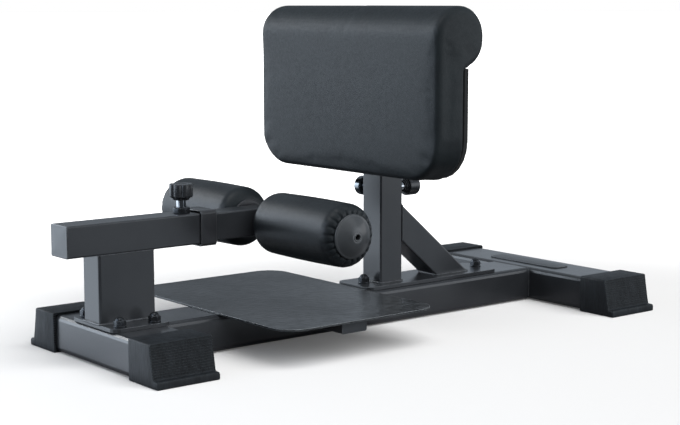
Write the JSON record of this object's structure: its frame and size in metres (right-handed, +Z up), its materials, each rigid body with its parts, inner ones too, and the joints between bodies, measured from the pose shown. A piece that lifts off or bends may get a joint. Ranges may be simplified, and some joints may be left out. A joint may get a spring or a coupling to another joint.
{
  "type": "sissy squat bench",
  "caption": "Low floor-standing squat bench with a padded calf support on a height-adjustable post, a sliding foot-roller arm, a footplate and rubber-capped crossbars.",
  "frame": {"origin": "on the floor under the middle of the whole bench at rest, with the pad at its lowest hole", "axes": "+X runs from the foot arm at the front to the long crossbar at the rear, +Y to the right of a person who stands on the footplate and faces the arm, +Z up"},
  "size_m": [1.0735, 0.529, 0.5565],
  "materials": {
    "frame": "charcoal powder coat, fine texture, satin",
    "footplate": "dark grey powder coat, matt, with a fine grip texture",
    "feet": "matt black moulded rubber",
    "plastic": "matt black moulded plastic",
    "knobs": "satin black moulded plastic",
    "plated": "bright chrome plate",
    "plated_pins": "zinc-plated steel",
    "springs": "bare spring steel wire",
    "fasteners": "black oxide steel, semi-gloss",
    "badge": "satin black plate, bare",
    "board": "plywood behind black backing cloth",
    "pad_cover": "black grained upholstery vinyl over foam",
    "roller_cover": "black grained upholstery vinyl over foam"
  },
  "bodies": {
    "base": {"main_beam": "frame", "front_crossbar": "frame", "rear_crossbar": "frame", "front_left_foot": "feet", "front_right_foot": "feet", "rear_left_foot": "feet", "rear_right_foot": "feet", "rear_badge_plate": "badge", "front_post": "frame", "front_post_plate": "frame", "post_bolt_front_left": "fasteners", "post_bolt_front_right": "fasteners", "post_bolt_rear_left": "fasteners", "post_bolt_rear_right": "fasteners", "arm_tube": "frame", "arm_end_plug": "plastic", "arm_collar": "plastic", "top_pin_weld_nut": "fasteners", "top_pin_body": "plated", "top_pin_spring": "springs", "footplate": "footplate", "left_outrigger": "frame", "right_outrigger": "frame", "upright": "frame", "upright_plate": "frame", "upright_brace": "frame", "upright_bolt_front": "fasteners", "upright_bolt_rear": "fasteners", "rear_pin_weld_nut": "fasteners", "rear_pin_body": "plated", "rear_pin_spring": "springs", "clamp_weld_nut": "fasteners"},
    "roller_carriage": {"slide_tube": "frame", "slide_end_plug": "plastic", "roller_axle": "plated_pins", "left_axle_spacer": "fasteners", "right_axle_spacer": "fasteners", "left_axle_screw": "fasteners", "right_axle_screw": "fasteners"},
    "left_roller": {"left_roller_core": "plastic", "left_roller_cushion": "roller_cover", "left_roller_inner_flange": "plastic", "left_roller_outer_cap": "plastic"},
    "right_roller": {"right_roller_core": "plastic", "right_roller_cushion": "roller_cover", "right_roller_inner_flange": "plastic", "right_roller_outer_cap": "plastic"},
    "top_pin": {"top_pin_plunger": "plated_pins", "top_pin_knob": "knobs"},
    "pad_carriage": {"pad_post": "frame", "pad_post_plug": "plastic", "left_pad_bracket": "frame", "right_pad_bracket": "frame", "pad_board": "board", "pad_cushion": "pad_cover"},
    "rear_pin": {"rear_pin_plunger": "plated_pins", "rear_pin_knob": "knobs"},
    "clamp_shank": {"clamp_screw": "plated_pins"},
    "clamp_grip": {"clamp_knob": "plated"}
  },
  "joints": [
    {"name": "roller_arm_slide", "type": "slide", "parent": "base", "child": "roller_carriage", "axis": [1, 0, 0], "range_m": [-0.02, 0.1]},
    {"name": "left_roller_spin", "type": "hinge", "parent": "roller_carriage", "child": "left_roller", "pos_m": [-0.15925, -0.14, 0.201], "axis": [0, 1, 0], "continuous": true},
    {"name": "right_roller_spin", "type": "hinge", "parent": "roller_carriage", "child": "right_roller", "pos_m": [-0.15925, 0.14, 0.201], "axis": [0, 1, 0], "continuous": true},
    {"name": "top_pin_pull", "type": "slide", "parent": "base", "child": "top_pin", "axis": [0, 0, 1], "range_m": [0, 0.008], "stiffness_N_per_m": 800, "springref_m": -0.006, "deforming": ["top_pin_spring"]},
    {"name": "pad_height", "type": "slide", "parent": "base", "child": "pad_carriage", "axis": [0, 0, 1], "range_m": [0, 0.12]},
    {"name": "rear_pin_pull", "type": "slide", "parent": "base", "child": "rear_pin", "axis": [1, 0, 0], "range_m": [0, 0.008], "stiffness_N_per_m": 800, "springref_m": -0.006, "deforming": ["rear_pin_spring"]},
    {"name": "clamp_advance", "type": "slide", "parent": "base", "child": "clamp_shank", "axis": [0, 1, 0], "range_m": [0, 0.003]},
    {"name": "clamp_turn", "type": "hinge", "parent": "clamp_shank", "child": "clamp_grip", "pos_m": [0.10775, 0.05, 0.234], "axis": [0, 1, 0], "range_deg": [0, 720]}
  ],
  "couplings": [
    {"joint": "clamp_turn", "follows": "clamp_advance", "rad_per_m": 4188.8}
  ]
}
